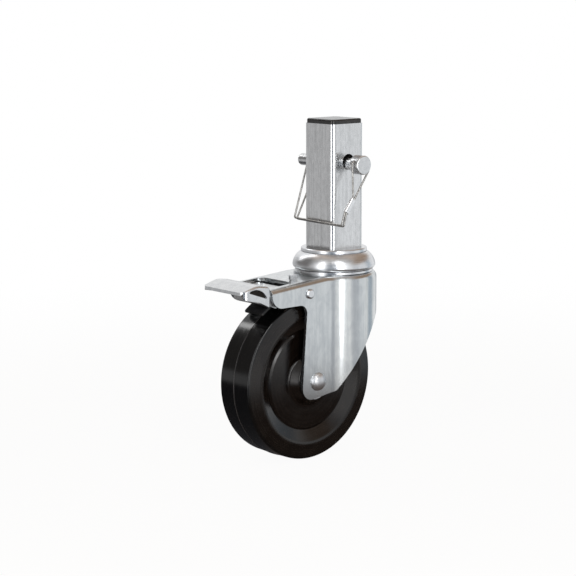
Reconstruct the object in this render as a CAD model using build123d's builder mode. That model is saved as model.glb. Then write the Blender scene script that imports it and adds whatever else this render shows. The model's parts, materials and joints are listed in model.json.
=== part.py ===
from build123d import *

import os
from math import asin, cos, degrees, radians, tan

# Scaffold castor: a square stem with a locking pin on a wire bail, a ball bearing swivel,
# a pressed steel fork with a foot brake, and a hard rubber wheel.
#
# Frame, in millimetres: Z runs up the stem and is the swivel axis, the origin is on that
# axis at the top face of the collar, the axle lies along Y, and the fork trails to -X.

# Clearances
running_gap = 0.05
slip_gap = 0.1
bearing_gap = 0.2
clip_gap = 0.5
cup_gap = 0.8

# Square stem
stem_side = 33.5
stem_corner = 4.0
stem_wall = 2.0
stem_height = 98.1

# End cap of the stem
cap_step = 0.8
cap_flange = 3.6
cap_round = 1.3
cap_plug_depth = 16.0
cap_plug_wall = 1.8
cap_rib = 0.5
cap_rib_height = 1.6
cap_rib_count = 3

# Collar under the stem
collar_radius = 26.2
collar_thickness = 3.2
collar_edge = 0.6

# Dome: its outer face bulges round a centre, then turns under in a hem
dome_thickness = 2.5
dome_bulge_radius = 14.0
dome_bulge_centre = 19.1
dome_bulge_drop = 11.9
dome_bulge_end = 9.0
dome_hem_radius = 3.2
dome_hem_turn = 68.0

# Upper ball row and its race ring
upper_ball_radius = 3.97
upper_ball_count = 14
upper_ball_circle = 22.6
race_floor = 4.76
race_flange_radius = 31.0
race_flange_height = 1.9
race_flange_round = 0.5
race_body_radius = 28.0
race_bore_radius = 13.0
race_land = 1.3

# Lower ball row and its cup
lower_ball_radius = 3.175
lower_ball_count = 12
lower_ball_circle = 14.4
cup_radius = 20.0
cup_thickness = 2.5
cup_wall = 1.6
cup_land = 1.0
cup_round = 1.5

# King pin, washer and nut
pin_shaft_radius = 7.0
pin_stub_radius = 5.0
pin_head_radius = 12.5
pin_head_height = 5.0
pin_head_edge = 1.2
pin_end = 1.6
pin_end_edge = 0.8
washer_radius = 11.0
washer_thickness = 1.6
king_nut_flats = 17.0
king_nut_height = 6.0
nut_corner = 0.8

# Fork sheet and its plan
fork_thickness = 2.8
fork_half_width = 26.0
fork_front = 86.0
skirt_radius = 34.0
flare_radius = 17.6
crown_round = 5.0
crown_bend = 30.0
crown_slope = 4.3
crown_bend_radius = 80.0
crown_hole_radius = 10.0

# Notch in the front of the crown
notch_half_width = 19.0
notch_rear = 59.0
notch_round = 7.0

# Side outline of the fork
arm_bottom = 37.8
arm_round = 10.0
armpit_x = 50.6
armpit_round = 7.0
toe_x = 56.6
toe_bottom = 114.9
toe_round = 9.5
heel_x = 21.5
heel_bottom = 110.0
heel_round = 5.0
sweep_x = 15.0
sweep_bottom = 58.8
sweep_round = 40.0
skirt_bottom = 38.5

# Axle
axle_offset = 40.1
axle_drop = 99.9
axle_radius = 4.0
axle_head_radius = 6.2
axle_head_height = 3.6
axle_head_round = 2.8
axle_nut_flats = 13.0
axle_nut_height = 6.5
axle_end = 1.5
axle_end_edge = 0.7
sleeve_radius = 6.0
thrust_radius = 14.5
thrust_thickness = 1.0

# Wheel section: radii from the axle, half widths from the middle plane
wheel_radius = 63.5
ridge_height = 0.25
ridge_half_width = 0.6
tread_edge_radius = 63.1
tread_half_width = 16.7
tread_round = 1.4
bulge_radius = 51.0
bulge_half_width = 19.3
bulge_round = 6.0
groove_radius = 40.3
groove_half_width = 14.0
ring_radius = 38.7
web_half_width = 15.1
hub_base_radius = 20.8
hub_top_radius = 16.2
hub_base_round = 2.5
hub_top_round = 1.5
hub_bevel = 1.2
hub_recess = 0.8

# Caged rollers in the hub
bush_wall = 1.6
roller_radius = 1.5
roller_count = 10
roller_length = 36.0
cage_wall = 1.7
cage_end = 3.0
cage_gap = 0.12

# Pedal pad, seen from the side
pedal_thickness = 2.5
pedal_half_width = 25.0
pedal_front = 114.0
pedal_front_top = 22.0
pedal_crest = 100.0
pedal_crest_top = 17.9
pedal_crest_round = 16.0
pedal_rear_gap = 1.0
pedal_rear_top = 19.9
pedal_rear_round = 4.0
pedal_side_round = 2.0
pedal_corner = 6.0

# Lower edge of the pedal's side flanges, and the window in each
flange_front = 110.7
flange_front_bottom = 28.0
flange_middle = 97.5
flange_middle_bottom = 31.0
flange_rear_bottom = 36.1
flange_round = 8.0
flange_front_round = 2.0
window_front = 108.8
window_front_drop = 22.5
window_top = 98.5
window_top_drop = 21.3
window_rear = 90.3
window_rear_drop = 29.0
window_round = 0.7

# Pedal pivot, lugs and cam lip
pivot_x = 48.5
pivot_drop = 29.6
rivet_radius = 3.0
rivet_head_radius = 3.9
rivet_head_height = 2.0
rivet_head_round = 1.6
lug_gap = 0.5
lug_thickness = 2.4
lug_eye_radius = 5.4
lug_rear_top = 27.2
lug_rear_bottom = 34.5
cam_thickness = 2.2
cam_dip_x = 84.0
cam_dip_drop = 34.8
cam_x = 78.5
cam_drop = 37.1
cam_tip_x = 72.0
cam_tip_drop = 33.0
cam_round = 4.0

# Spring plate over the tread
spring_thickness = 1.8
spring_half_width = 10.5
spring_root_half_width = 8.0
spring_root = 49.0
spring_bend = 53.5
spring_bend_round = 3.0
spring_neck = 56.0
spring_lift = 7.0
spring_start = 104.6
spring_end = 127.8
spring_gap = 0.35
spring_corner = 2.0

# Clip that holds the spring plate under the crown
clip_x = 51.6
clip_head_length = 6.5
clip_head_height = 3.4
clip_neck = 4.6
clip_thickness = 2.0
clip_foot = 0.8
clip_foot_reach = 5.0
clip_foot_length = 2.9

# Locking pin
lock_hole_radius = 6.25
lock_hole_height = 68.3
lock_radius = 4.75
lock_head_radius = 7.5
lock_head_length = 9.0
lock_head_stand = 9.25
lock_head_round = 1.2
lock_tip = 39.0
lock_tip_round = 2.0
wire_hole_radius = 0.95
wire_hole_inset = 4.0

# Wire bail and the crimped sleeve that joins its ends
wire_radius = 0.75
wire_bend = 1.6
wire_end_gap = 0.4
bail_drop = 46.2
bail_far_lift = 1.2
bail_face_gap = 0.25
bail_far_y = 24.2
bail_shoulder = 9.8
bail_saddle = 5.7
bail_saddle_round = 5.5
strand_offset = 0.95
strand_spread = 1.35
crimp_top_x = 8.3
crimp_top_drop = 26.5
crimp_bottom_x = 15.6
crimp_bottom_drop = 36.0
crimp_width = 5.0
crimp_depth = 3.2
crimp_lead = 1.5

# Levels of the swivel, from the collar down
collar_bottom = -collar_thickness
dome_under = collar_bottom - dome_thickness
upper_ball_z = dome_under - running_gap - upper_ball_radius
crown_top = upper_ball_z - upper_ball_radius - running_gap - race_floor
crown_under = crown_top - fork_thickness
lower_ball_z = crown_under - running_gap - lower_ball_radius
cup_floor = lower_ball_z - lower_ball_radius - running_gap
cup_under = cup_floor - cup_thickness
washer_under = cup_under - washer_thickness
king_nut_under = washer_under - king_nut_height

# Widths across the fork
fork_inside = fork_half_width - fork_thickness
thrust_inside = fork_inside - slip_gap - thrust_thickness
hub_half_width = thrust_inside - bearing_gap
lug_outside = fork_inside - lug_gap
lug_inside = lug_outside - lug_thickness
pedal_rear = fork_front + pedal_rear_gap

# Places that several pieces share
axle_x = -axle_offset
axle_z = -axle_drop
pivot_z = -pivot_drop
crown_rate = tan(radians(crown_slope))
far_out = 2 * (fork_front + skirt_radius)
lock_z = lock_hole_height - lock_hole_radius + lock_radius + running_gap


def under_crown(x, gap):
    """Height of a point the gap below the crown's underside, on its sloping part."""
    return crown_under - (-x - crown_bend) * crown_rate - gap


def across(y):
    """Drawing plane square to the axle at y: its first axis is X and its second is Z."""
    return Plane(origin=(0, y, 0), x_dir=(1, 0, 0), z_dir=(0, -1, 0))


def hex_nut(seat, flats, height, bore_radius):
    """Hexagon nut standing on a plane, with both ends of its corners turned off."""
    with BuildPart() as blank:
        with BuildSketch(seat):
            Circle(flats / (2 * cos(radians(30))))
            Circle(bore_radius, mode=Mode.SUBTRACT)
        extrude(amount=height)
        rims = blank.edges().filter_by(GeomType.CIRCLE).sort_by(SortBy.RADIUS)[-2:]
        chamfer(rims, nut_corner)
        with BuildSketch(seat):
            RegularPolygon(flats / 2, 6, major_radius=False)
        extrude(amount=height, mode=Mode.INTERSECT)
    return blank.part


# Square stem: drawn steel tube with the cross holes of the locking pin
with BuildPart() as stem_tube:
    with BuildSketch(Plane.XY.offset(collar_bottom)):
        bore_side = stem_side - 2 * stem_wall
        RectangleRounded(stem_side, stem_side, stem_corner)
        RectangleRounded(bore_side, bore_side, stem_corner - stem_wall, mode=Mode.SUBTRACT)
    extrude(amount=stem_height - collar_bottom)
    with BuildSketch(across(0)):
        with Locations((0, lock_hole_height)):
            Circle(lock_hole_radius)
    extrude(amount=stem_side, both=True, mode=Mode.SUBTRACT)
stem_tube.part.label = "stem_tube"

# End cap: moulded plug with a flange and soft ribs that grip the tube
with BuildPart() as stem_end_cap:
    flange_side = stem_side - 2 * cap_step
    rib_side = bore_side - 2 * running_gap
    rib_corner = stem_corner - stem_wall - running_gap
    plug_side = rib_side - 2 * cap_rib
    hollow_side = plug_side - 2 * cap_plug_wall
    rib_pitch = cap_plug_depth / (cap_rib_count + 1)
    with BuildSketch(Plane.XY.offset(stem_height)):
        RectangleRounded(flange_side, flange_side, stem_corner - cap_step)
    extrude(amount=cap_flange)
    fillet(stem_end_cap.faces().sort_by(Axis.Z)[-1].edges(), cap_round)
    with BuildSketch(Plane.XY.offset(stem_height)):
        RectangleRounded(plug_side, plug_side, rib_corner - cap_rib)
    extrude(amount=-cap_plug_depth)
    for rib in range(cap_rib_count):
        with BuildSketch(Plane.XY.offset(stem_height - rib_pitch * (rib + 1))):
            RectangleRounded(rib_side, rib_side, rib_corner)
        extrude(amount=-cap_rib_height)
    with BuildSketch(Plane.XY.offset(stem_height - cap_plug_depth)):
        Rectangle(hollow_side, hollow_side)
    extrude(amount=cap_plug_depth, mode=Mode.SUBTRACT)
stem_end_cap.part.label = "stem_end_cap"

# Collar: steel disc with a square hole, welded round the foot of the tube
with BuildPart() as collar_plate:
    with BuildSketch(Plane.XY.offset(collar_bottom)):
        Circle(collar_radius)
        RectangleRounded(stem_side, stem_side, stem_corner, mode=Mode.SUBTRACT)
    extrude(amount=collar_thickness)
    rims = collar_plate.edges().filter_by(GeomType.CIRCLE).sort_by(SortBy.RADIUS)[-2:]
    chamfer(rims, collar_edge)
collar_plate.part.label = "collar_plate"

# Dome: pressed cover whose flat underside is the upper race
with BuildPart() as bearing_dome:
    sheet_radius = dome_bulge_radius - dome_thickness / 2
    bulge_start = degrees(asin((dome_bulge_drop - dome_thickness / 2) / sheet_radius))
    with BuildSketch(Plane.XZ):
        with BuildLine():
            bulge = CenterArc(
                (dome_bulge_centre, collar_bottom - dome_bulge_drop),
                sheet_radius,
                bulge_start,
                dome_bulge_end - bulge_start,
            )
            Line((pin_shaft_radius + running_gap, (bulge @ 0).Y), bulge @ 0)
            JernArc(bulge @ 1, bulge % 1, dome_hem_radius - dome_thickness / 2, -dome_hem_turn)
        trace(line_width=dome_thickness)
    revolve(axis=Axis.Z)
bearing_dome.part.label = "bearing_dome"

# Upper balls, lying in the groove of the race ring
with BuildPart() as upper_bearing_balls:
    with Locations((0, 0, upper_ball_z)):
        with PolarLocations(upper_ball_circle, upper_ball_count):
            Sphere(upper_ball_radius)
upper_bearing_balls.part.label = "upper_bearing_balls"

# Race ring: turned seat on the crown, with a flange and the groove for the upper balls
with BuildPart() as crown_race_ring:
    with BuildSketch(Plane.XZ):
        with Locations((race_bore_radius, crown_top)):
            flange_width = race_flange_radius - race_bore_radius
            body_width = race_body_radius - race_bore_radius
            Rectangle(flange_width, race_flange_height, align=Align.MIN)
            Rectangle(body_width, upper_ball_z - race_land - crown_top, align=Align.MIN)
        with Locations((upper_ball_circle, upper_ball_z)):
            Circle(upper_ball_radius + running_gap, mode=Mode.SUBTRACT)
        flange_tip = vertices().group_by(Axis.X)[-1].sort_by(Axis.Y)[-1]
        fillet(flange_tip, race_flange_round)
    revolve(axis=Axis.Z)
crown_race_ring.part.label = "crown_race_ring"

# Lower balls, between the underside of the crown and the cup
with BuildPart() as lower_bearing_balls:
    with Locations((0, 0, lower_ball_z)):
        with PolarLocations(lower_ball_circle, lower_ball_count):
            Sphere(lower_ball_radius)
lower_bearing_balls.part.label = "lower_bearing_balls"

# Cup: lower race that the king pin holds up against the crown
with BuildPart() as lower_race_cup:
    with BuildSketch(Plane.XZ):
        with Locations((pin_stub_radius + running_gap, cup_under)):
            floor_width = cup_radius - pin_stub_radius - running_gap
            Rectangle(floor_width, cup_thickness, align=Align.MIN)
        with Locations((pin_shaft_radius + running_gap, cup_floor)):
            land_width = cup_radius - pin_shaft_radius - running_gap
            land_height = lower_ball_z - cup_land - cup_floor
            Rectangle(land_width, land_height, align=Align.MIN)
        with Locations((cup_radius - cup_wall, cup_floor)):
            wall_height = crown_under - cup_gap - cup_floor
            Rectangle(cup_wall, wall_height, align=Align.MIN)
        with Locations((lower_ball_circle, lower_ball_z)):
            Circle(lower_ball_radius + running_gap, mode=Mode.SUBTRACT)
        cup_corner = vertices().group_by(Axis.X)[-1].sort_by(Axis.Y)[0]
        fillet(cup_corner, cup_round)
    revolve(axis=Axis.Z)
lower_race_cup.part.label = "lower_race_cup"

# King pin: headed bar inside the stem that holds both ball rows together
with BuildPart() as king_pin:
    with BuildSketch(Plane.XY.offset(collar_bottom)):
        Circle(pin_head_radius)
    extrude(amount=pin_head_height)
    chamfer(king_pin.faces().sort_by(Axis.Z)[-1].edges(), pin_head_edge)
    with BuildSketch(Plane.XY.offset(collar_bottom)):
        Circle(pin_shaft_radius)
    extrude(amount=cup_floor - collar_bottom)
    with BuildSketch(Plane.XY.offset(cup_floor)):
        Circle(pin_stub_radius)
    extrude(amount=king_nut_under - pin_end - cup_floor)
    chamfer(king_pin.faces().sort_by(Axis.Z)[0].edges(), pin_end_edge)
king_pin.part.label = "king_pin"

with BuildPart() as king_washer:
    with BuildSketch(Plane.XY.offset(washer_under)):
        Circle(washer_radius)
        Circle(pin_stub_radius + running_gap, mode=Mode.SUBTRACT)
    extrude(amount=washer_thickness)
king_washer.part.label = "king_washer"

with BuildPart() as king_nut:
    nut_seat = Plane.XY.offset(king_nut_under)
    add(hex_nut(nut_seat, king_nut_flats, king_nut_height, pin_stub_radius + running_gap))
king_nut.part.label = "king_nut"


def fork_block(inset):
    """Solid form of the fork inside its outer face by the inset, with its crown rounded."""
    top = crown_top - inset
    with BuildPart() as block:
        with BuildSketch(Plane.XY.offset(top)):
            Circle(skirt_radius - inset)
            with Locations((-far_out / 2, 0)):
                Rectangle(far_out, 2 * (fork_half_width - inset))
            corners = vertices().filter_by(lambda v: abs(v.X) < skirt_radius and abs(v.Y) > 1)
            fillet(corners, flare_radius + inset)
        extrude(amount=-far_out)
        with BuildSketch(Plane.XZ):
            with BuildLine():
                FilletPolyline(
                    (far_out, top),
                    (-crown_bend, top),
                    (-far_out, top - (far_out - crown_bend) * crown_rate),
                    (-far_out, top + far_out),
                    (far_out, top + far_out),
                    radius=(0, crown_bend_radius, 0, 0, 0),
                    close=True,
                )
            make_face()
        extrude(amount=far_out, both=True, mode=Mode.SUBTRACT)
        roof = block.faces().filter_by(lambda face: face.normal_at().Z > cos(radians(30)))
        fillet(roof.edges().filter_by(Axis.Y, reverse=True), crown_round - inset)
    return block.part


# Fork: one pressed sheet with a keyhole plan, two arms for the brake and two legs
with BuildPart() as fork:
    add(fork_block(0))
    add(fork_block(fork_thickness), mode=Mode.SUBTRACT)
    back = skirt_radius + fork_thickness
    with BuildSketch(Plane.XZ):
        with BuildLine():
            FilletPolyline(
                (-fork_front, 0),
                (-fork_front, -arm_bottom),
                (-armpit_x, -arm_bottom),
                (-toe_x, -toe_bottom),
                (-heel_x, -heel_bottom),
                (sweep_x, -sweep_bottom),
                (back, -skirt_bottom),
                (back, 0),
                radius=(0, arm_round, armpit_round, toe_round, heel_round, sweep_round, 0, 0),
                close=True,
            )
        make_face()
    extrude(amount=far_out, both=True, mode=Mode.INTERSECT)
    with BuildSketch(Plane.XY):
        with Locations((-notch_rear, 0)):
            Rectangle(far_out, 2 * notch_half_width, align=(Align.MAX, Align.CENTER))
        fillet(vertices().group_by(Axis.X)[-1], notch_round)
        with Locations((-clip_x, -spring_root_half_width - clip_gap - clip_thickness / 2)):
            Rectangle(clip_neck + 2 * slip_gap, clip_thickness + 2 * slip_gap)
        Circle(crown_hole_radius)
    extrude(amount=2 * crown_under, mode=Mode.SUBTRACT)
    with BuildSketch(across(0)):
        with Locations((axle_x, axle_z)):
            Circle(axle_radius + running_gap)
        with Locations((-pivot_x, pivot_z)):
            Circle(rivet_radius + running_gap)
    extrude(amount=far_out, both=True, mode=Mode.SUBTRACT)
fork.part.label = "fork"

# Axle: domed bolt and nut that clamp the legs on a sleeve
with BuildPart() as axle_bolt:
    with BuildSketch(across(-fork_half_width)):
        with Locations((axle_x, axle_z)):
            Circle(axle_radius)
    extrude(amount=-(2 * fork_half_width + axle_nut_height + axle_end))
    chamfer(axle_bolt.faces().sort_by(Axis.Y)[-1].edges(), axle_end_edge)
    with BuildSketch(across(-fork_half_width)):
        with Locations((axle_x, axle_z)):
            Circle(axle_head_radius)
    extrude(amount=axle_head_height)
    fillet(axle_bolt.faces().sort_by(Axis.Y)[0].edges(), axle_head_round)
axle_bolt.part.label = "axle_bolt"

with BuildPart() as axle_nut:
    nut_seat = Plane(origin=(axle_x, fork_half_width, axle_z), z_dir=(0, 1, 0))
    add(hex_nut(nut_seat, axle_nut_flats, axle_nut_height, axle_radius + running_gap))
axle_nut.part.label = "axle_nut"

with BuildPart() as axle_sleeve:
    sleeve_half = fork_inside - running_gap
    with BuildSketch(across(0)):
        with Locations((axle_x, axle_z)):
            Circle(sleeve_radius)
            Circle(axle_radius + running_gap, mode=Mode.SUBTRACT)
    extrude(amount=sleeve_half, both=True)
axle_sleeve.part.label = "axle_sleeve"

# Thrust washers on the sleeve, one at each end of the hub
with BuildPart() as thrust_washers:
    with BuildSketch(across(thrust_inside)):
        with Locations((axle_x, axle_z)):
            Circle(thrust_radius)
            Circle(sleeve_radius + running_gap, mode=Mode.SUBTRACT)
    extrude(amount=-thrust_thickness)
    mirror(about=Plane.XZ)
thrust_washers.part.label = "thrust_washers"

roller_circle = sleeve_radius + running_gap + roller_radius
bush_bore = roller_circle + roller_radius + running_gap
bush_radius = bush_bore + bush_wall
bush_half = hub_half_width - hub_recess

# Wheel: hard rubber in one piece, with raised side walls and a conical hub
with BuildPart() as wheel:
    with BuildSketch(Plane(origin=(axle_x, 0, axle_z))):
        with BuildLine():
            FilletPolyline(
                (bush_radius, 0),
                (bush_radius, bush_half),
                (bush_radius + hub_bevel, hub_half_width),
                (hub_top_radius, hub_half_width),
                (hub_base_radius, web_half_width),
                (ring_radius, web_half_width),
                (groove_radius, groove_half_width),
                (bulge_radius, bulge_half_width),
                (tread_edge_radius, tread_half_width),
                (wheel_radius, ridge_half_width),
                (wheel_radius + ridge_height, ridge_half_width / 2),
                (wheel_radius + ridge_height, 0),
                radius=(0, 0, 0, hub_top_round, hub_base_round, 0, 0, bulge_round, tread_round, 0, 0, 0),
                close=True,
            )
        make_face()
    revolve(axis=Axis((axle_x, 0, axle_z), (0, 1, 0)))
    mirror(about=Plane.XZ)
wheel.part.label = "wheel"

# Steel bush in the rubber, with the caged rollers that run on the sleeve
with BuildPart() as hub_bush:
    with BuildSketch(across(0)):
        with Locations((axle_x, axle_z)):
            Circle(bush_radius)
            Circle(bush_bore, mode=Mode.SUBTRACT)
    extrude(amount=bush_half, both=True)
hub_bush.part.label = "hub_bush"

with BuildPart() as bearing_rollers:
    with BuildSketch(across(0)):
        with Locations((axle_x, axle_z)):
            with PolarLocations(roller_circle, roller_count):
                Circle(roller_radius)
    extrude(amount=roller_length / 2, both=True)
bearing_rollers.part.label = "bearing_rollers"

with BuildPart() as roller_cage:
    window_half = roller_length / 2 + cage_gap
    with BuildSketch(across(0)):
        with Locations((axle_x, axle_z)):
            Circle(roller_circle + cage_wall / 2)
            Circle(roller_circle - cage_wall / 2, mode=Mode.SUBTRACT)
    extrude(amount=window_half + cage_end, both=True)
    with BuildSketch(across(0)):
        with Locations((axle_x, axle_z)):
            with PolarLocations(roller_circle, roller_count):
                Rectangle(2 * cage_wall, 2 * (roller_radius + cage_gap))
    extrude(amount=window_half, both=True, mode=Mode.SUBTRACT)
roller_cage.part.label = "roller_cage"

# Pedal: drawn pad with side flanges, two lugs to the pivot and a curled cam lip
with BuildPart() as brake_pedal:
    pad_rate = (pedal_front_top - pedal_crest_top) / (pedal_front - pedal_crest)
    with BuildSketch(Plane.XZ):
        with BuildLine():
            FilletPolyline(
                (-pedal_front, -pedal_front_top),
                (-pedal_crest, -pedal_crest_top),
                (-pedal_rear, -pedal_rear_top),
                (-pedal_rear, -flange_rear_bottom),
                (-flange_middle, -flange_middle_bottom),
                (-flange_front, -flange_front_bottom),
                (-pedal_front, -pedal_front_top - pedal_thickness),
                radius=(
                    0,
                    pedal_crest_round,
                    pedal_rear_round,
                    0,
                    flange_round,
                    flange_front_round,
                    0,
                ),
                close=True,
            )
        make_face()
    extrude(amount=pedal_half_width, both=True)
    pad_faces = brake_pedal.faces().filter_by(lambda face: face.normal_at().Z > cos(radians(80)))
    pad_sides = pad_faces.edges().filter_by(Axis.Y, reverse=True)
    fillet(pad_sides, pedal_side_round)
    with BuildSketch(Plane.XZ):
        hollow_rear = -pedal_rear - pedal_thickness
        hollow_rear_top = -pedal_rear_top - pedal_thickness
        hollow_front = -pedal_front - pedal_thickness
        hollow_front_top = -pedal_front_top - pedal_thickness * (1 + pad_rate)
        with BuildLine():
            FilletPolyline(
                (hollow_front, hollow_front_top),
                (-pedal_crest, -pedal_crest_top - pedal_thickness),
                (hollow_rear, hollow_rear_top),
                (hollow_rear, -2 * flange_rear_bottom),
                (hollow_front, -2 * flange_rear_bottom),
                radius=(0, pedal_crest_round - pedal_thickness, pedal_rear_round - pedal_thickness, 0, 0),
                close=True,
            )
        make_face()
    extrude(amount=pedal_half_width - pedal_thickness, both=True, mode=Mode.SUBTRACT)
    with BuildSketch(Plane.XY):
        with Locations((-pedal_front, 0)):
            Rectangle(2 * pedal_front, 2 * pedal_half_width, align=(Align.MIN, Align.CENTER))
        fillet(vertices().group_by(Axis.X)[0], pedal_corner)
    extrude(amount=-2 * flange_rear_bottom, mode=Mode.INTERSECT)
    for flange_inside in (pedal_half_width - pedal_thickness, -pedal_half_width):
        with BuildSketch(across(flange_inside)):
            with BuildLine():
                ThreePointArc(
                    (-window_front, -window_front_drop),
                    (-window_top, -window_top_drop),
                    (-window_rear, -window_rear_drop),
                )
                Line((-window_rear, -window_rear_drop), (-window_front, -window_front_drop))
            make_face()
            fillet(vertices(), window_round)
        extrude(amount=-pedal_thickness, mode=Mode.SUBTRACT)
    with BuildSketch(Plane.XZ):
        with BuildLine():
            FilletPolyline(
                (-pedal_rear - pedal_thickness / 2, -pivot_drop),
                (-cam_dip_x, -cam_dip_drop),
                (-cam_x, -cam_drop),
                (-cam_tip_x, -cam_tip_drop),
                radius=cam_round,
            )
        trace(line_width=cam_thickness)
    extrude(amount=lug_outside - lug_thickness / 2, both=True)
    for lug_face in (lug_outside, -lug_inside):
        with BuildSketch(across(lug_face)):
            with Locations((-pivot_x, pivot_z)):
                Circle(lug_eye_radius)
            with Locations((-pedal_rear - pedal_thickness / 2, -lug_rear_bottom)):
                lug_root = lug_rear_bottom - lug_rear_top
                Rectangle(pedal_thickness, lug_root, align=(Align.CENTER, Align.MIN))
            make_hull()
            with Locations((-pivot_x, pivot_z)):
                Circle(rivet_radius + running_gap, mode=Mode.SUBTRACT)
        extrude(amount=lug_thickness)
brake_pedal.part.label = "brake_pedal"

# Rivet: the pedal's pivot, headed outside both fork arms
with BuildPart() as brake_pivot_rivet:
    with BuildSketch(across(0)):
        with Locations((-pivot_x, pivot_z)):
            Circle(rivet_radius)
    extrude(amount=fork_half_width, both=True)
    with BuildSketch(across(fork_half_width)):
        with Locations((-pivot_x, pivot_z)):
            Circle(rivet_head_radius)
    extrude(amount=-rivet_head_height)
    fillet(brake_pivot_rivet.faces().sort_by(Axis.Y)[-1].edges(), rivet_head_round)
    with BuildSketch(across(-fork_half_width)):
        with Locations((-pivot_x, pivot_z)):
            Circle(rivet_head_radius)
    extrude(amount=rivet_head_height)
    fillet(brake_pivot_rivet.faces().sort_by(Axis.Y)[0].edges(), rivet_head_round)
brake_pivot_rivet.part.label = "brake_pivot_rivet"

# Spring plate: hangs from the crown and lies in an arc over the tread
shoe_radius = wheel_radius + spring_lift
root_depth = spring_gap + spring_thickness / 2

with BuildPart() as brake_spring_plate:
    with BuildSketch(Plane.XZ):
        with BuildLine():
            shoe = CenterArc((axle_x, axle_z), shoe_radius, spring_start, spring_end - spring_start)
            Polyline(
                (-spring_root, under_crown(-spring_root, root_depth)),
                (-spring_bend, under_crown(-spring_bend, root_depth)),
                shoe @ 0,
            )
            bends = vertices().sort_by(Axis.X)[1:-1]
            fillet(bends, spring_bend_round)
        trace(line_width=spring_thickness)
    extrude(amount=spring_half_width, both=True)
    with BuildSketch(Plane.XY):
        shoe_front = axle_x + (shoe_radius + spring_thickness) * cos(radians(spring_end))
        with Locations((shoe_front, 0)):
            shoe_length = -spring_neck - shoe_front
            Rectangle(shoe_length, 2 * spring_half_width, align=(Align.MIN, Align.CENTER))
        fillet(vertices(), spring_corner)
        with Locations((-spring_neck, 0)):
            Rectangle(2 * spring_neck, 2 * spring_root_half_width, align=Align.CENTER)
    extrude(amount=-axle_drop, mode=Mode.INTERSECT)
brake_spring_plate.part.label = "brake_spring_plate"

# Clip: plate pushed down through the crown, with a foot hooked under the spring plate
with BuildPart() as spring_plate_clip:
    clip_inside = -spring_root_half_width - clip_gap
    head_rear = clip_x - clip_head_length / 2
    head_under = crown_top - (head_rear - crown_bend) * crown_rate
    foot_top = under_crown(-spring_bend, spring_gap + spring_thickness + clip_gap)
    with BuildSketch(across(clip_inside)):
        with Locations((-clip_x, head_under)):
            neck_length = head_under - foot_top + clip_foot
            Rectangle(clip_head_length, clip_head_height, align=(Align.CENTER, Align.MIN))
            Rectangle(clip_neck, neck_length, align=(Align.CENTER, Align.MAX))
    extrude(amount=clip_thickness)
    with BuildSketch(across(clip_inside)):
        with Locations((-clip_x + clip_neck / 2, foot_top)):
            Rectangle(clip_foot_length, clip_foot, align=Align.MAX)
    extrude(amount=-clip_foot_reach)
spring_plate_clip.part.label = "spring_plate_clip"

# Locking pin: loose bar through the stem, with a head drilled for the wire
with BuildPart() as locking_pin:
    head_inside = -(stem_side / 2 + lock_head_stand)
    wire_y = head_inside - lock_head_length + wire_hole_inset
    foot_x = -(stem_side / 2 + bail_face_gap + wire_radius + strand_spread)
    wire_up = Vector(-foot_x, 0, bail_drop).normalized()
    wire_out = wire_up.cross(Vector(0, 1, 0))
    with BuildSketch(across(head_inside)):
        with Locations((0, lock_z)):
            Circle(lock_radius)
    extrude(amount=head_inside - lock_tip)
    fillet(locking_pin.faces().sort_by(Axis.Y)[-1].edges(), lock_tip_round)
    with BuildSketch(across(head_inside)):
        with Locations((0, lock_z)):
            Circle(lock_head_radius)
    extrude(amount=lock_head_length)
    fillet(locking_pin.faces().sort_by(Axis.Y)[0].edges(), lock_head_round)
    with BuildSketch(Plane(origin=(0, wire_y, lock_z), z_dir=wire_out)):
        Circle(wire_hole_radius)
    extrude(amount=2 * lock_head_radius, both=True, mode=Mode.SUBTRACT)
locking_pin.part.label = "locking_pin"

# Bail: one wire through the pin's head, down to the sleeve, along the stem and back up
# over the tip of the pin, with its two strands side by side
near_pin = Vector(0, wire_y, lock_z)
near_foot = Vector(foot_x, wire_y, lock_z - bail_drop)
far_pin = Vector(0, bail_far_y, lock_z)
far_foot = Vector(foot_x, bail_far_y, lock_z - bail_drop + bail_far_lift)
crimp_top = Vector(-crimp_top_x, wire_y, lock_z - crimp_top_drop)
crimp_bottom = Vector(-crimp_bottom_x, wire_y, lock_z - crimp_bottom_drop)
crimp_middle = (crimp_top + crimp_bottom) / 2
crimp_down = (crimp_bottom - crimp_top).normalized()
crimp_out = Vector(0, 1, 0).cross(crimp_down)

with BuildPart() as pin_bail:
    strand = crimp_out * strand_offset
    spread = wire_out * strand_spread
    saddle = wire_out * bail_saddle
    shoulder = wire_out * bail_shoulder
    rise = wire_up * bail_saddle
    lead = crimp_down * crimp_lead
    half_gap = crimp_down * (wire_end_gap / 2)
    near_bends = [wire_bend] * 8
    saddle_bends = [bail_saddle_round] * 2
    far_bends = [wire_bend] * 4
    with BuildLine():
        wire = FilletPolyline(
            crimp_middle + strand - half_gap,
            crimp_top + strand - lead,
            near_pin + shoulder,
            near_pin - shoulder,
            crimp_top - strand - lead,
            crimp_bottom - strand + lead,
            near_foot - spread,
            far_foot - spread,
            far_pin - saddle,
            far_pin - saddle + rise,
            far_pin + saddle + rise,
            far_pin + saddle,
            far_foot + spread,
            near_foot + spread,
            crimp_bottom + strand + lead,
            crimp_middle + strand + half_gap,
            radius=near_bends + saddle_bends + far_bends,
        )
    with BuildSketch(Plane(origin=wire @ 0, z_dir=wire % 0)):
        Circle(wire_radius)
    sweep()
pin_bail.part.label = "pin_bail"

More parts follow.
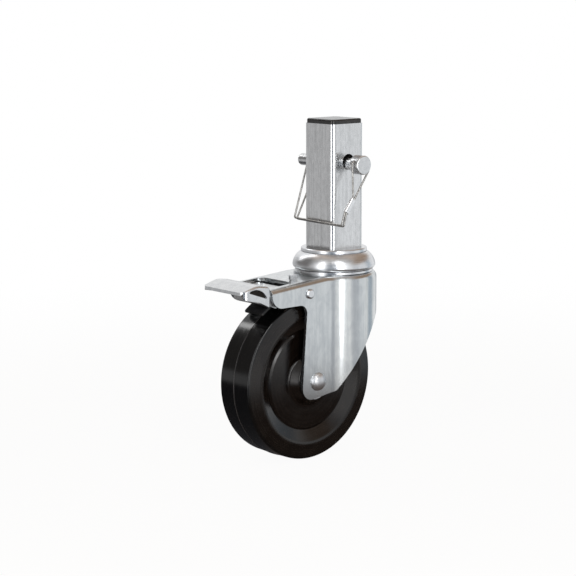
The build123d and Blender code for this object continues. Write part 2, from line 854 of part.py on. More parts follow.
# Sleeve crimped over the two strands
with BuildPart() as bail_crimp:
    with BuildSketch(Plane(origin=crimp_top, x_dir=crimp_out, z_dir=crimp_down)):
        SlotOverall(crimp_width, crimp_depth)
        with Locations((strand_offset, 0), (-strand_offset, 0)):
            Circle(wire_radius + running_gap, mode=Mode.SUBTRACT)
    extrude(amount=(crimp_bottom - crimp_top).length)
bail_crimp.part.label = "bail_crimp"

os.makedirs("parts", exist_ok=True)
export_step(stem_tube.part, "parts/stem_tube.step")
export_step(stem_end_cap.part, "parts/stem_end_cap.step")
export_step(collar_plate.part, "parts/collar_plate.step")
export_step(bearing_dome.part, "parts/bearing_dome.step")
export_step(upper_bearing_balls.part, "parts/upper_bearing_balls.step")
export_step(crown_race_ring.part, "parts/crown_race_ring.step")
export_step(lower_bearing_balls.part, "parts/lower_bearing_balls.step")
export_step(lower_race_cup.part, "parts/lower_race_cup.step")
export_step(king_pin.part, "parts/king_pin.step")
export_step(king_washer.part, "parts/king_washer.step")
export_step(king_nut.part, "parts/king_nut.step")
export_step(fork.part, "parts/fork.step")
export_step(axle_bolt.part, "parts/axle_bolt.step")
export_step(axle_nut.part, "parts/axle_nut.step")
export_step(axle_sleeve.part, "parts/axle_sleeve.step")
export_step(thrust_washers.part, "parts/thrust_washers.step")
export_step(wheel.part, "parts/wheel.step")
export_step(hub_bush.part, "parts/hub_bush.step")
export_step(bearing_rollers.part, "parts/bearing_rollers.step")
export_step(roller_cage.part, "parts/roller_cage.step")
export_step(brake_pedal.part, "parts/brake_pedal.step")
export_step(brake_pivot_rivet.part, "parts/brake_pivot_rivet.step")
export_step(brake_spring_plate.part, "parts/brake_spring_plate.step")
export_step(spring_plate_clip.part, "parts/spring_plate_clip.step")
export_step(locking_pin.part, "parts/locking_pin.step")
export_step(pin_bail.part, "parts/pin_bail.step")
export_step(bail_crimp.part, "parts/bail_crimp.step")
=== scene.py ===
import json
from math import asin, cos, pi, radians, sin

import bpy
from mathutils import Matrix, Vector


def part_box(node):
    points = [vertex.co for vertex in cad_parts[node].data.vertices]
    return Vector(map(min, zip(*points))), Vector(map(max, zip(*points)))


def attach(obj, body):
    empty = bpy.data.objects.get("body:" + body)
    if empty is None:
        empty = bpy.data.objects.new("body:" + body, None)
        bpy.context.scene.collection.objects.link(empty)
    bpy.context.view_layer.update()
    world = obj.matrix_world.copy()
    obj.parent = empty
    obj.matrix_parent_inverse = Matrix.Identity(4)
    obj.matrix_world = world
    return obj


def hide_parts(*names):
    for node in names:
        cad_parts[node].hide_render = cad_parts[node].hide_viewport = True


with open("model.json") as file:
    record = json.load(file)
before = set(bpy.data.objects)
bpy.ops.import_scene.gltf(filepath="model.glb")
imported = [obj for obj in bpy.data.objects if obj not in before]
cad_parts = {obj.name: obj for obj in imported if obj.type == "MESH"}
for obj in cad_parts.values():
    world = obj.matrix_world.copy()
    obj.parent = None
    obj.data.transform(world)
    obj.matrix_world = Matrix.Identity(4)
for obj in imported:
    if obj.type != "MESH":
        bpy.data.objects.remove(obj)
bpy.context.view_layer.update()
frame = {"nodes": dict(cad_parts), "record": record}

# Camera
# A long lens a little above the castor's middle, looking at the corner of the square stem
# between the pedal's side and the side of the pin's head.
bpy.ops.object.camera_add(
    location=(-0.89231, -0.97823, 0.19085),
    rotation=(1.402737, 0.002883, -0.712362),
)
camera = bpy.context.object
camera.name = "camera"
camera.data.lens = 105.0
camera.data.sensor_width = 36.0
bpy.context.scene.camera = camera
bpy.context.scene.view_settings.view_transform = "Standard"


# Studio
# A pale floor and a room with painted boards all round, which the zinc plate mirrors.
# Two upright strip lamps stand near the castor, one soft box hangs above the camera
# and one behind the castor.
class Wire:
    """Output of a shader node. A sum that is written with it becomes Math nodes."""

    def __init__(self, tree, socket):
        self.tree = tree
        self.socket = socket

    def math(self, operation, *values):
        sockets = dict(enumerate(values))
        return add_node(self.tree, "ShaderNodeMath", {"operation": operation}, sockets)

    def __add__(self, other):
        return self.math("ADD", self, other)

    def __radd__(self, other):
        return self.math("ADD", other, self)

    def __sub__(self, other):
        return self.math("SUBTRACT", self, other)

    def __rsub__(self, other):
        return self.math("SUBTRACT", other, self)

    def __mul__(self, other):
        return self.math("MULTIPLY", self, other)

    def __rmul__(self, other):
        return self.math("MULTIPLY", other, self)

    def __truediv__(self, other):
        return self.math("DIVIDE", self, other)

    def __pow__(self, other):
        return self.math("POWER", self, other)


def add_node(tree, kind, settings, sockets, output=0):
    """Add a node: its settings first, then a value or a link for each socket."""
    node = tree.nodes.new(kind)
    for name, value in settings.items():
        setattr(node, name, value)
    for key, value in sockets.items():
        if isinstance(value, Wire):
            tree.links.new(value.socket, node.inputs[key])
        else:
            node.inputs[key].default_value = value
    return Wire(tree, node.outputs[output]) if node.outputs else None


def fade(value, low, high):
    """0 below low, 1 above high, and a smooth rise between them."""
    return add_node(
        value.tree,
        "ShaderNodeMapRange",
        {"interpolation_type": "SMOOTHSTEP"},
        {"Value": value, "From Min": low, "From Max": high},
    )


def blend_colours(mask, low, high):
    """The low colour where the mask is 0 and the high colour where it is 1."""
    sockets = {0: mask, 6: low, 7: high}
    return add_node(mask.tree, "ShaderNodeMix", {"data_type": "RGBA"}, sockets, output=2)


def split_axes(vector):
    """The three numbers of a vector."""
    sockets = {"Vector": vector}
    return [
        add_node(vector.tree, "ShaderNodeSeparateXYZ", {}, sockets, output=axis)
        for axis in range(3)
    ]


WHITE = (1.0, 1.0, 1.0, 1.0)
camera_azimuth = -132.4
mirror_azimuth = 132.4


def facing(east, north, azimuth, half_width, edge):
    """1 inside a sector of directions round an azimuth in degrees, 0 outside it."""
    level = (east * east + north * north + 1e-6) ** 0.5
    toward = (cos(radians(azimuth)) * east + sin(radians(azimuth)) * north) / level
    return fade(toward, cos(radians(half_width + edge)), cos(radians(half_width)))


# Azimuth, half width and soft edge in degrees, and colour. Seen from the camera, the
# stem's left face mirrors the first board and its right face the second.
board_base = (0.60, 0.62, 0.65, 1.0)
wall_boards = [
    (mirror_azimuth, 60, 25, (0.56, 0.56, 0.565, 1.0)),
    (-47.6, 12, 5, (0.86, 0.88, 0.90, 1.0)),
    (-33.0, 6, 3, (0.97, 0.97, 0.96, 1.0)),
    (-18.0, 9, 4, (0.44, 0.51, 0.57, 1.0)),
    (8.0, 13, 5, WHITE),
    (40.0, 16, 6, (0.50, 0.52, 0.54, 1.0)),
    (-168.0, 11, 4, WHITE),
    (-136.0, 15, 6, (0.13, 0.16, 0.20, 1.0)),
    (-101.0, 16, 4, WHITE),
]


def paint_boards(east, north):
    """Colour of the boards round the castor, by direction."""
    colour = board_base
    for azimuth, half_width, edge, board_colour in wall_boards:
        mask = facing(east, north, azimuth, half_width, edge)
        colour = blend_colours(mask, colour, board_colour)
    return colour


floor_height = -0.16376
floor_radius = 14.0
floor_colour = (0.80, 0.74, 0.66, 1.0)
shadow_near = 0.20
shadow_far = 0.9
shadow_share = 0.05
# Painted shadow in the floor that the plate and the rubber mirror, under and behind the castor.
wheel_shadow_colour = (0.09, 0.07, 0.06, 1.0)
wheel_shadow_near = 0.17
wheel_shadow_far = 0.38
cast_colour = (0.05, 0.05, 0.055, 1.0)
cast_near = 0.42
cast_far = 0.68

bpy.ops.object.select_all(action="DESELECT")
bpy.ops.mesh.primitive_circle_add(
    vertices=96, radius=floor_radius, fill_type="NGON", location=(0, 0, floor_height)
)
floor = bpy.context.object
floor.name = "floor"
bpy.ops.object.transform_apply(location=True, rotation=True, scale=True)
floor_finish = bpy.data.materials.new("floor_paper")
floor_finish.use_nodes = True
tree = floor_finish.node_tree
tree.nodes.clear()
spot = add_node(tree, "ShaderNodeTexCoord", {}, {}, "Object")
across_floor, along_floor, _ = split_axes(spot)
distance = (across_floor * across_floor + along_floor * along_floor) ** 0.5
camera_ray = add_node(tree, "ShaderNodeLightPath", {}, {}, "Is Camera Ray")
glossy_ray = add_node(tree, "ShaderNodeLightPath", {}, {}, "Is Glossy Ray")
glass_ray = add_node(tree, "ShaderNodeLightPath", {}, {}, "Is Transmission Ray")
open_floor = fade(distance, shadow_near, shadow_far)
boards = paint_boards(across_floor, along_floor)
# The mirrored floor is painted dark under the wheel and behind the castor, as painted shadow.
outside_wheel_shadow = fade(distance, wheel_shadow_near, wheel_shadow_far)
mirrored = blend_colours(outside_wheel_shadow, wheel_shadow_colour, boards)
behind_castor = facing(across_floor, along_floor, mirror_azimuth, 35, 20)
cast_shade = behind_castor * (1 - fade(distance, cast_near, cast_far))
mirrored = blend_colours(cast_shade, mirrored, cast_colour)
shown = 1 - shadow_share * (1 - open_floor)
paper = add_node(tree, "ShaderNodeBsdfDiffuse", {}, {"Color": floor_colour})
seen_floor = blend_colours(camera_ray, mirrored, WHITE)
white = add_node(tree, "ShaderNodeEmission", {}, {"Color": seen_floor, "Strength": 1.0})
seen_white = camera_ray * shown + glossy_ray + glass_ray
mixed = add_node(tree, "ShaderNodeMixShader", {}, {0: seen_white, 1: paper, 2: white})
add_node(tree, "ShaderNodeOutputMaterial", {}, {"Surface": mixed})
floor.data.materials.append(floor_finish)

ceiling_colour = (0.54, 0.45, 0.39, 1.0)
back_dim_colour = (0.15, 0.14, 0.135, 1.0)
back_high_colour = (0.95, 0.95, 0.95, 1.0)
right_dim_colour = (0.36, 0.26, 0.19, 1.0)
front_high_colour = (0.50, 0.485, 0.47, 1.0)
diffuse_share = 0.7
room = bpy.context.scene.world or bpy.data.worlds.new("room")
bpy.context.scene.world = room
room.use_nodes = True
tree = room.node_tree
tree.nodes.clear()
direction = add_node(tree, "ShaderNodeTexCoord", {}, {}, "Generated")
east, north, up = split_axes(direction)
walls = paint_boards(east, north)
backdrop = facing(east, north, 40.0, 32, 12) * fade(up, 0.0, 0.10)
walls = blend_colours(backdrop, walls, WHITE)
back_dim = facing(east, north, 128, 24, 12) * fade(up, 0.0, 0.08)
walls = blend_colours(back_dim, walls, back_dim_colour)
back_high = facing(east, north, 52, 34, 12) * fade(up, 0.28, 0.42)
walls = blend_colours(back_high, walls, back_high_colour)
right_dim = facing(east, north, -28, 38, 16) * fade(up, 0.30, 0.45)
walls = blend_colours(right_dim, walls, right_dim_colour)
high = blend_colours(fade(up, 0.72, 0.86), walls, ceiling_colour)
front_high = facing(east, north, camera_azimuth, 65, 15) * fade(up, 0.55, 0.66)
front_high = front_high * (1 - fade(up, 0.90, 0.97))
room_colour = blend_colours(front_high, high, front_high_colour)
camera_ray = add_node(tree, "ShaderNodeLightPath", {}, {}, "Is Camera Ray")
glossy_ray = add_node(tree, "ShaderNodeLightPath", {}, {}, "Is Glossy Ray")
glass_ray = add_node(tree, "ShaderNodeLightPath", {}, {}, "Is Transmission Ray")
seen_rays = camera_ray + glossy_ray + glass_ray
full = seen_rays.math("MINIMUM", seen_rays, 1.0)
seen_colour = blend_colours(camera_ray, room_colour, WHITE)
strength = diffuse_share + (1 - diffuse_share) * full
sky = add_node(
    tree, "ShaderNodeBackground", {}, {"Color": seen_colour, "Strength": strength}
)
add_node(tree, "ShaderNodeOutputWorld", {}, {"Surface": sky})


strip_bottom = -0.16
strip_top = 0.55
strip_reach = 0.50


def add_strip(name, azimuth, width, brightness):
    """Upright strip lamp beside the castor, out of sight of the camera."""
    way = Vector((cos(radians(azimuth)), sin(radians(azimuth)), 0.0))
    middle = Vector((0.0, 0.0, (strip_bottom + strip_top) / 2))
    height = strip_top - strip_bottom
    bpy.ops.object.light_add(type="AREA", location=way * strip_reach + middle)
    lamp = bpy.context.object
    lamp.name = name
    lamp.rotation_euler = way.to_track_quat("Z", "Y").to_euler()
    lamp.data.shape = "RECTANGLE"
    lamp.data.size = width
    lamp.data.size_y = height
    lamp.data.energy = brightness * pi * width * height
    lamp.visible_camera = False


def add_softbox(name, azimuth, elevation, reach, width, height, brightness):
    """Lamp over the castor that faces its middle from an azimuth and an elevation."""
    aim = Vector((0.0, 0.0, -0.03))
    level = cos(radians(elevation))
    way = Vector(
        (
            cos(radians(azimuth)) * level,
            sin(radians(azimuth)) * level,
            sin(radians(elevation)),
        )
    )
    bpy.ops.object.light_add(type="AREA", location=aim + way * reach)
    lamp = bpy.context.object
    lamp.name = name
    lamp.rotation_euler = way.to_track_quat("Z", "Y").to_euler()
    lamp.data.shape = "RECTANGLE"
    lamp.data.size = width
    lamp.data.size_y = height
    lamp.data.energy = brightness * pi * width * height
    lamp.visible_camera = False


add_strip("strip_left", azimuth=-168, width=0.13, brightness=2.2)
add_strip("strip_front", azimuth=-114, width=0.10, brightness=5.0)
add_softbox(
    "softbox_high",
    azimuth=-119,
    elevation=46,
    reach=1.2,
    width=0.30,
    height=0.08,
    brightness=5.0,
)
add_softbox(
    "softbox_back",
    azimuth=104,
    elevation=40,
    reach=1.7,
    width=0.16,
    height=1.3,
    brightness=5.0,
)


# Square stem
# Welded steel tube, 33.5 mm square, drawn to size and bright zinc plated. The drawing
# leaves fine lines along the tube, and the plate over them is softly mottled.
def new_finish(name):
    """New material: its node tree, its shader node and its place on the part."""
    finish = bpy.data.materials.new(name)
    finish.use_nodes = True
    tree = finish.node_tree
    shader = tree.nodes["Principled BSDF"]
    place = add_node(tree, "ShaderNodeTexCoord", {}, {}, "Object")
    return finish, tree, shader, place


def grain(place, sizes, detail=3.0, distortion=0.0, seed=0.0):
    """Noise from 0 to 1 whose grains have these sizes in metres along the three axes."""
    scale = tuple(1.0 / size for size in sizes)
    sockets = {"Vector": place, "Location": (seed, seed, seed), "Scale": scale}
    stretched = add_node(place.tree, "ShaderNodeMapping", {}, sockets)
    sockets = {"Vector": stretched, "Scale": 1.0, "Detail": detail, "Distortion": distortion}
    return add_node(place.tree, "ShaderNodeTexNoise", {}, sockets)


def join_axes(tree, *axes):
    """A vector of three numbers."""
    return add_node(tree, "ShaderNodeCombineXYZ", {}, dict(enumerate(axes)))


def feed(shader, name, value):
    """Link or set one socket of the shader."""
    if isinstance(value, Wire):
        value.tree.links.new(value.socket, shader.inputs[name])
    else:
        shader.inputs[name].default_value = value


def raise_relief(shader, height, depth):
    """Bump from a height of 0 to 1 that stands for this depth in metres."""
    tree = height.tree
    sockets = {"Height": height, "Distance": depth, "Strength": 1.0}
    feed(shader, "Normal", add_node(tree, "ShaderNodeBump", {}, sockets))


def plate_zinc(name, lines, mottle, colours, gloss, depth, line_share=0.5, painted_shade=None):
    """Bright zinc plate: tooling lines and a soft mottle, in colour, gloss and relief.

    The painted shade gives a mask from the place, where shade is painted dark and dull.
    """
    finish, tree, shader, place = new_finish(name)
    tooling = grain(place, lines, detail=4.0)
    patches = grain(place, mottle, detail=3.0, distortion=0.6, seed=3.7)
    fine = grain(place, (0.0005, 0.0005, 0.0005), detail=2.0, seed=9.1)
    tone = line_share * fade(tooling, 0.34, 0.66) + (1 - line_share) * fade(patches, 0.3, 0.7)
    colour = blend_colours(tone, colours[0], colours[1])
    rough = gloss[0] + (gloss[1] - gloss[0]) * (0.6 * (1 - tone) + 0.4 * fine)
    if painted_shade:
        inside = painted_shade(place)
        colour = blend_colours(inside, colour, painted_shade_colour)
        rough = rough + 0.25 * inside
    feed(shader, "Base Color", colour)
    feed(shader, "Roughness", rough)
    feed(shader, "Metallic", 1.0)
    raise_relief(shader, 0.7 * tooling + 0.2 * fine + 0.1 * patches, depth)
    return finish


def dress(finish, *names):
    """Put a finish in the material slots of these CAD nodes."""
    for name in names:
        for slot in frame["nodes"][name].material_slots:
            slot.material = finish


bore_half = 0.0148
bore_end = 0.0152
# Colour of the painted shade in the tube's bore and under the pedal's pad.
painted_shade_colour = (0.07, 0.062, 0.055, 1.0)


# The bore of the tube is painted dark as shade inside it, through this mask.
def shade_inside_tube(place):
    """The bore of the tube, behind its outer walls."""
    x, y, _ = split_axes(place)
    x = 1 - fade(x.math("ABSOLUTE", x), bore_half, bore_end)
    y = 1 - fade(y.math("ABSOLUTE", y), bore_half, bore_end)
    return x * y


drawn_zinc = plate_zinc(
    "drawn_zinc",
    lines=(0.0016, 0.0016, 0.050),
    mottle=(0.0020, 0.0020, 0.0045),
    colours=((0.60, 0.605, 0.61, 1.0), (0.76, 0.765, 0.77, 1.0)),
    gloss=(0.18, 0.33),
    depth=0.00003,
    painted_shade=shade_inside_tube,
)
dress(drawn_zinc, "stem_tube")

# End cap
# Moulded plug of black plastic, pushed into the top of the tube, with a softly rounded
# flange whose top is lightly scuffed by handling.
cap_finish, tree, shader, place = new_finish("cap_plastic")
spark = grain(place, (0.0004, 0.0004, 0.0004), detail=2.0)
scuffs = fade(grain(place, (0.006, 0.0012, 0.004), detail=4.0, distortion=0.8), 0.5, 0.72)
feed(
    shader,
    "Base Color",
    blend_colours(scuffs, (0.012, 0.011, 0.011, 1.0), (0.030, 0.027, 0.025, 1.0)),
)
feed(shader, "Roughness", 0.13 + 0.06 * spark + 0.08 * scuffs)
raise_relief(shader, spark + 0.4 * scuffs, 0.00001)
dress(cap_finish, "stem_end_cap")

# Collar and dome
# The collar is a steel disc welded round the foot of the tube. The dome under it is a
# deep drawn cover whose underside is the upper race. Both are zinc plated and spun, so
# their fine lines run round the swivel axis.
def ring_place(place, centre, axis):
    """Place on a turned part: distance from its axis, distance along it, and nothing."""
    tree = place.tree
    moved = add_node(
        tree,
        "ShaderNodeVectorMath",
        {"operation": "SUBTRACT"},
        {0: place, 1: centre},
    )
    parts = split_axes(moved)
    along = parts.pop(axis)
    out = (parts[0] * parts[0] + parts[1] * parts[1]) ** 0.5
    return join_axes(tree, out, along, 0.0), moved


def turn_zinc(name, centre, axis, line, colours, gloss, depth):
    """Zinc plate on a turned or spun part, with fine rings round its axis."""
    finish, tree, shader, place = new_finish(name)
    rings_at, moved = ring_place(place, centre, axis)
    rings = grain(rings_at, (line, line, 1.0), detail=4.0)
    patches = grain(moved, (0.004, 0.004, 0.004), detail=3.0, distortion=0.5, seed=5.3)
    fine = grain(moved, (0.0004, 0.0004, 0.0004), detail=2.0, seed=2.2)
    tone = 0.5 * fade(rings, 0.34, 0.66) + 0.5 * fade(patches, 0.3, 0.7)
    feed(shader, "Base Color", blend_colours(tone, colours[0], colours[1]))
    feed(shader, "Roughness", gloss[0] + (gloss[1] - gloss[0]) * (0.6 * rings + 0.4 * fine))
    feed(shader, "Metallic", 1.0)
    raise_relief(shader, 0.8 * rings + 0.2 * fine, depth)
    return finish


bright = ((0.64, 0.655, 0.68, 1.0), (0.78, 0.79, 0.80, 1.0))
swivel = (0.0, 0.0, 0.0)
spun_zinc = turn_zinc("spun_zinc", swivel, 2, 0.0009, bright, (0.22, 0.36), 0.00003)
dress(spun_zinc, "collar_plate", "bearing_dome")

# Ball bearing
# Two rows of polished steel balls, the turned ring on the crown that the upper row runs
# in, and the cup under the crown that holds the lower row. Grease leaves the balls hazy.
ball_finish, tree, shader, place = new_finish("polished_balls")
haze = grain(place, (0.002, 0.002, 0.002), detail=3.0)
feed(
    shader,
    "Base Color",
    blend_colours(fade(haze, 0.35, 0.65), (0.50, 0.49, 0.47, 1.0), (0.74, 0.74, 0.75, 1.0)),
)
feed(shader, "Roughness", 0.06 + 0.12 * haze)
feed(shader, "Metallic", 1.0)
dress(ball_finish, "upper_bearing_balls", "lower_bearing_balls", "bearing_rollers")

turned_zinc = turn_zinc("turned_zinc", swivel, 2, 0.0005, bright, (0.18, 0.34), 0.00005)
dress(turned_zinc, "crown_race_ring", "lower_race_cup", "king_washer")

# King pin
# Headed steel pin inside the stem that carries both rows of balls. Its washer and nut
# under the crown are zinc plated, and its thread shows below the nut.
pin_colours = ((0.56, 0.57, 0.59, 1.0), (0.72, 0.73, 0.74, 1.0))
king_zinc = turn_zinc("king_zinc", swivel, 2, 0.0006, pin_colours, (0.26, 0.42), 0.00006)
dress(king_zinc, "king_pin", "king_nut")


def add_thread(name, centre, axis, radius, pitch, turns, body, finish):
    """Ridge of a rolled thread round a bolt's end, from the centre along the axis."""
    bpy.ops.object.select_all(action="DESELECT")
    bpy.ops.mesh.primitive_plane_add(size=1.0, location=(0, 0, 0))
    ridge = bpy.context.object
    ridge.name = name
    flank = pitch * 0.42
    crest = flank * 0.15
    height = radius * 0.055
    inner = radius - height
    outer = radius + height * 0.2
    profile = ((inner, -flank), (inner, flank), (outer, -crest), (outer, crest))
    for vertex, (out, up) in zip(ridge.data.vertices, profile):
        vertex.co = (out, 0.0, up)
    bpy.ops.object.mode_set(mode="EDIT")
    bpy.ops.mesh.select_all(action="SELECT")
    bpy.ops.mesh.delete(type="ONLY_FACE")
    bpy.ops.object.mode_set(mode="OBJECT")
    winding = ridge.modifiers.new("winding", "SCREW")
    winding.angle = 2 * pi * turns
    winding.screw_offset = pitch * turns
    winding.steps = int(40 * turns)
    winding.render_steps = winding.steps
    winding.use_merge_vertices = True
    winding.merge_threshold = 1e-6
    bpy.ops.object.modifier_apply(modifier=winding.name)
    turn = Vector(axis).to_track_quat("Z", "Y").to_matrix().to_4x4()
    ridge.matrix_world = Matrix.Translation(centre) @ turn
    bpy.ops.object.transform_apply(location=True, rotation=True, scale=True)
    bpy.ops.object.mode_set(mode="EDIT")
    bpy.ops.mesh.select_all(action="SELECT")
    bpy.ops.mesh.fill_holes(sides=8)
    bpy.ops.mesh.normals_make_consistent(inside=False)
    bpy.ops.object.mode_set(mode="OBJECT")
    ridge.data.materials.append(finish)
    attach(ridge, body)


thread_gap = 0.0001
nut_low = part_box("king_nut")[0].z
add_thread(
    "king_pin_thread",
    centre=(0, 0, nut_low - thread_gap),
    axis=(0, 0, -1),
    radius=0.005,
    pitch=0.0008,
    turns=0.9,
    body="stem",
    finish=king_zinc,
)

# Fork
# One pressed steel sheet, 2.8 mm thick, folded down into two arms for the brake and two
# legs for the axle, and drawn round at the back. Its zinc plate is smooth and bluish,
# with faint lines down the legs where it slid through the press.
pressed_zinc = plate_zinc(
    "pressed_zinc",
    lines=(0.0026, 0.0026, 0.060),
    mottle=(0.007, 0.007, 0.012),
    colours=((0.545, 0.57, 0.585, 1.0), (0.665, 0.685, 0.69, 1.0)),
    gloss=(0.18, 0.27),
    depth=0.00002,
    line_share=0.4,
)
dress(pressed_zinc, "fork")


def copy_merged(name):
    """Copy of a CAD node with its faces joined, as the selected and active object."""
    bpy.ops.object.select_all(action="DESELECT")
    node = frame["nodes"][name]
    node.select_set(True)
    bpy.context.view_layer.objects.active = node
    bpy.ops.object.duplicate()
    piece = bpy.context.object
    piece.name = name + "_refined"
    bpy.ops.object.mode_set(mode="EDIT")
    bpy.ops.mesh.select_all(action="SELECT")
    bpy.ops.mesh.remove_doubles(threshold=1e-6)
    bpy.ops.object.mode_set(mode="OBJECT")
    return piece


def round_edges(piece, width):
    """Round the sharp edges of a piece, and shade its flat faces evenly."""
    rim = piece.modifiers.new("rim", "BEVEL")
    rim.width = width
    rim.segments = 2
    rim.limit_method = "ANGLE"
    rim.angle_limit = radians(50)
    bpy.ops.object.modifier_apply(modifier=rim.name)
    bpy.ops.object.shade_smooth()
    even = piece.modifiers.new("even", "WEIGHTED_NORMAL")
    even.weight = 90
    bpy.ops.object.modifier_apply(modifier=even.name)


rim_round = 0.0004
fork_refined = copy_merged("fork")
round_edges(fork_refined, rim_round)
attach(fork_refined, "fork")
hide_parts("fork")

# Brake pedal
# Drawn steel pad with side flanges, two lugs that reach back to the pivot and a curled
# lip that presses on the spring plate. The pad's top is dulled by boots.
crest_x = -0.100
crest_z = -0.0179
front_slope = 0.2929
rear_slope = 0.154


def shade_under_pad(place):
    """The pedal's underside, more than a millimetre below the slopes of its pad, painted as
    shade.
    """
    x, y, z = split_axes(place)
    ahead = crest_x - x
    front_fall = front_slope * ahead.math("MAXIMUM", ahead, 0.0)
    rear_fall = -rear_slope * ahead.math("MINIMUM", ahead, 0.0)
    below = fade(crest_z - front_fall - rear_fall - z, 0.0013, 0.0017)
    within = 1 - fade(y.math("ABSOLUTE", y), 0.0228, 0.0232)
    behind_rim = fade(x, -0.1134, -0.1130)
    before_lugs = 1 - fade(x, -0.0892, -0.0888)
    return below * within * behind_rim * before_lugs


# The pedal's underside is painted dark as shade, through its shade mask.
trodden_zinc = plate_zinc(
    "trodden_zinc",
    lines=(0.010, 0.0016, 0.010),
    mottle=(0.004, 0.004, 0.004),
    colours=((0.63, 0.645, 0.665, 1.0), (0.74, 0.75, 0.755, 1.0)),
    gloss=(0.22, 0.36),
    depth=0.00002,
    line_share=0.45,
    painted_shade=shade_under_pad,
)
dress(trodden_zinc, "brake_pedal")


def add_block(name, size, tilt, middle):
    """Box of this size round its middle, tilted about the direction of the axle."""
    bpy.ops.object.select_all(action="DESELECT")
    bpy.ops.mesh.primitive_cube_add(size=1.0, location=(0, 0, 0))
    block = bpy.context.object
    block.name = name
    block.dimensions = size
    block.rotation_euler = (0.0, tilt, 0.0)
    block.location = middle
    bpy.ops.object.transform_apply(location=True, rotation=True, scale=True)
    return block


# The far flange and the wall between the flanges are trimmed to a shallow edge that
# rises to the pad's front. The near flange keeps its full depth.
flange_front = Vector((-0.1140, 0.0037, -0.0249))
flange_rear = Vector((-0.0840, 0.0037, -0.0316))
flange_run = flange_rear - flange_front
trim_width = 0.0438
trim_depth = 0.0200
trim_tilt = asin(-flange_run.z / flange_run.length)
below = Vector((-sin(trim_tilt), 0.0, -cos(trim_tilt)))
pedal_refined = copy_merged("brake_pedal")
cutter = add_block(
    "cutter",
    size=(flange_run.length, trim_width, trim_depth),
    tilt=trim_tilt,
    middle=(flange_front + flange_rear) / 2 + below * trim_depth / 2,
)
bpy.ops.object.select_all(action="DESELECT")
pedal_refined.select_set(True)
bpy.context.view_layer.objects.active = pedal_refined
trim = pedal_refined.modifiers.new("trim", "BOOLEAN")
trim.operation = "DIFFERENCE"
trim.solver = "EXACT"
trim.object = cutter
bpy.ops.object.modifier_apply(modifier=trim.name)
bpy.data.objects.remove(cutter)
round_edges(pedal_refined, rim_round)
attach(pedal_refined, "pedal")
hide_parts("brake_pedal")

# The web is the strip of sheet that joins the two lugs behind the pad.
web_rear = Vector((-0.0862, 0.0, -0.0281))
web_front = Vector((-0.0640, 0.0, -0.0251))
web_half_width = 0.0190
web_thickness = 0.0020
web_run = web_front - web_rear
web = add_block(
    "pedal_web",
    size=(web_run.length, 2 * web_half_width, web_thickness),
    tilt=asin(-web_run.z / web_run.length),
    middle=(web_rear + web_front) / 2,
)
web_edges = web.modifiers.new("edges", "BEVEL")
web_edges.width = rim_round
web_edges.segments = 2
bpy.ops.object.modifier_apply(modifier=web_edges.name)
web.data.materials.append(trodden_zinc)
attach(web, "pedal")

# Rivet and clip
# The rivet is the pedal's pivot and its two heads are snapped outside the fork's arms.
# The clip is a small punched plate that holds the spring plate up under the crown.
def joint_place(name):
    """Where a joint of the part is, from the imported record."""
    joints = {row["name"]: row for row in frame["record"]["behaviour"]["joints"]}
    return tuple(joints[name]["pos_m"])


pivot = joint_place("pedal_swing")
rivet_zinc = turn_zinc("rivet_zinc", pivot, 1, 0.0005, bright, (0.18, 0.32), 0.00004)
dress(rivet_zinc, "brake_pivot_rivet")
clip_zinc = plate_zinc(
    "clip_zinc",
    lines=(0.0008, 0.0008, 0.003),
    mottle=(0.002, 0.002, 0.002),
    colours=bright,
    gloss=(0.20, 0.34),
    depth=0.00003,
)
dress(clip_zinc, "spring_plate_clip")

# Axle
# Domed bolt, nut and sleeve that clamp the legs, with a thrust washer at each end of
# the hub. Turned steel with zinc plate, and a rolled thread at the nut's end.
axle = joint_place("wheel_spin")
axle_zinc = turn_zinc("axle_zinc", axle, 1, 0.0006, bright, (0.34, 0.50), 0.00004)
dress(axle_zinc, "axle_bolt", "axle_nut", "axle_sleeve", "thrust_washers")
head_place = (axle[0], -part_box("axle_nut")[0].y, axle[2])
head_radius = 0.0072
head_height = 0.0043
bpy.ops.object.select_all(action="DESELECT")
bpy.ops.mesh.primitive_uv_sphere_add(
    segments=48, ring_count=32, radius=1.0, location=(0, 0, 0)
)
head = bpy.context.object
head.name = "axle_head"
head.scale = (head_radius, head_height, head_radius)
head.location = head_place
bpy.ops.object.transform_apply(location=True, rotation=True, scale=True)
bpy.ops.object.mode_set(mode="EDIT")
bpy.ops.mesh.select_all(action="SELECT")
bpy.ops.mesh.bisect(
    plane_co=head_place, plane_no=(0.0, 1.0, 0.0), use_fill=True, clear_outer=True
)
bpy.ops.object.mode_set(mode="OBJECT")
bpy.ops.object.shade_smooth()
head.data.materials.append(axle_zinc)
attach(head, "fork")
nut_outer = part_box("axle_nut")[1].y
add_thread(
    "axle_thread",
    centre=(axle[0], nut_outer + thread_gap, axle[2]),
    axis=(0, 1, 0),
    radius=0.004,
    pitch=0.0008,
    turns=0.9,
    body="fork",
    finish=axle_zinc,
)

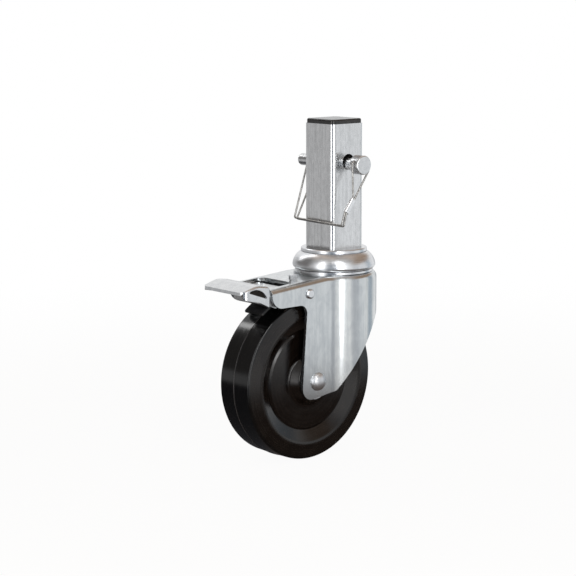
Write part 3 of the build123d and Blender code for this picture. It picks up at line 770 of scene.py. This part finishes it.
# Wheel
# Hard black rubber moulded in one piece, with a parting ridge round the tread, raised
# side walls and a conical hub. The tread is glossy from the mould, with a painted highlight
# along its ridge, and the side walls are a little duller and browner.
wheel_finish, tree, shader, place = new_finish("hard_rubber")
tread_start = 0.0600
tread_full = 0.0622
hollow_start = 0.0470
hollow_end = 0.0500
rings_at, moved = ring_place(place, axle, 1)
out_from_axle, from_middle, _ = split_axes(rings_at)
flow = grain(rings_at, (0.0014, 0.0014, 1.0), detail=3.0)
cloud = grain(moved, (0.012, 0.012, 0.012), detail=4.0, distortion=0.8, seed=4.4)
fine = grain(moved, (0.0006, 0.0006, 0.0006), detail=2.0, seed=7.7)
tread_mask = fade(out_from_axle, tread_start, tread_full)
bloom = fade(0.5 * flow + 0.5 * cloud, 0.38, 0.64)
wall_colour = blend_colours(bloom, (0.0042, 0.0026, 0.0019, 1.0), (0.0080, 0.0054, 0.0040, 1.0))
tread_colour = blend_colours(bloom, (0.0018, 0.0018, 0.0020, 1.0), (0.0032, 0.0030, 0.0030, 1.0))
# A thin highlight is painted in a lighter colour along the ridge, all round the wheel.
ridge_highlight_mask = 1 - fade(from_middle.math("ABSOLUTE", from_middle), 0.0002, 0.0007)
painted_ridge_highlight = (0.045, 0.043, 0.043, 1.0)
tread_colour = blend_colours(ridge_highlight_mask, tread_colour, painted_ridge_highlight)
feed(shader, "Base Color", blend_colours(tread_mask, wall_colour, tread_colour))
inner_mask = 1 - fade(out_from_axle, hollow_start, hollow_end)
wall_gloss = 0.20 + 0.07 * bloom + 0.04 * fine - 0.07 * inner_mask
tread_gloss = 0.11 + 0.05 * bloom + 0.03 * fine
feed(shader, "Roughness", wall_gloss * (1 - tread_mask) + tread_gloss * tread_mask)
raise_relief(shader, 0.5 * flow + 0.3 * cloud + 0.2 * fine, 0.00002)
dress(wheel_finish, "wheel")

bush_zinc = turn_zinc("bush_zinc", axle, 1, 0.0005, pin_colours, (0.24, 0.40), 0.00004)
dress(bush_zinc, "hub_bush")

# Roller cage
# Black plastic cage, moulded in one piece, that spaces the needle rollers in the hub.
# Oil from the bearing gives it a patchy sheen.
cage_finish, tree, shader, place = new_finish("cage_plastic")
oil = grain(place, (0.002, 0.004, 0.002), detail=3.0)
feed(
    shader,
    "Base Color",
    blend_colours(fade(oil, 0.35, 0.65), (0.020, 0.019, 0.018, 1.0), (0.040, 0.036, 0.032, 1.0)),
)
feed(shader, "Roughness", 0.22 + 0.25 * oil)
dress(cage_finish, "roller_cage")

# Spring plate
# Spring steel strip, blackened with oil, that hangs under the crown and is pressed on
# the tread. Its faces show faint rolling lines along its length.
spring_finish, tree, shader, place = new_finish("oil_black_steel")
rolling = grain(place, (0.012, 0.0009, 0.012), detail=4.0)
oil = grain(place, (0.005, 0.005, 0.005), detail=3.0, distortion=0.7, seed=6.1)
tone = fade(0.5 * rolling + 0.5 * oil, 0.4, 0.62)
feed(
    shader,
    "Base Color",
    blend_colours(tone, (0.010, 0.010, 0.011, 1.0), (0.030, 0.029, 0.030, 1.0)),
)
feed(shader, "Roughness", 0.30 + 0.18 * oil)
feed(shader, "Metallic", 0.3)
raise_relief(shader, rolling, 0.00003)
dress(spring_finish, "brake_spring_plate")

# Locking pin
# Turned and zinc plated steel bar through the cross holes of the stem. Its head is
# drilled for the wire, and its end faces show the lathe's rings.
pin_low, pin_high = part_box("locking_pin")
lock = (0.0, 0.0, (pin_low.z + pin_high.z) / 2)
lock_colours = ((0.58, 0.59, 0.60, 1.0), (0.76, 0.77, 0.775, 1.0))
lock_zinc = turn_zinc("lock_zinc", lock, 1, 0.0007, lock_colours, (0.22, 0.38), 0.00005)
dress(lock_zinc, "locking_pin")

# Wire bail and its sleeve
# One zinc plated spring wire, 1.5 mm thick, through the pin's head, round the stem and
# over the pin's tip. Its two ends meet in a sleeve that is pressed flat round them.
wire_zinc = plate_zinc(
    "wire_zinc",
    lines=(0.0012, 0.0012, 0.0012),
    mottle=(0.003, 0.003, 0.003),
    colours=((0.30, 0.285, 0.27, 1.0), (0.50, 0.49, 0.47, 1.0)),
    gloss=(0.28, 0.40),
    depth=0.00003,
)
sleeve_zinc = plate_zinc(
    "sleeve_zinc",
    lines=(0.0010, 0.0010, 0.0010),
    mottle=(0.002, 0.002, 0.002),
    colours=((0.74, 0.75, 0.76, 1.0), (0.86, 0.86, 0.87, 1.0)),
    gloss=(0.16, 0.28),
    depth=0.00004,
)
dress(wire_zinc, "pin_bail")
dress(sleeve_zinc, "bail_crimp")
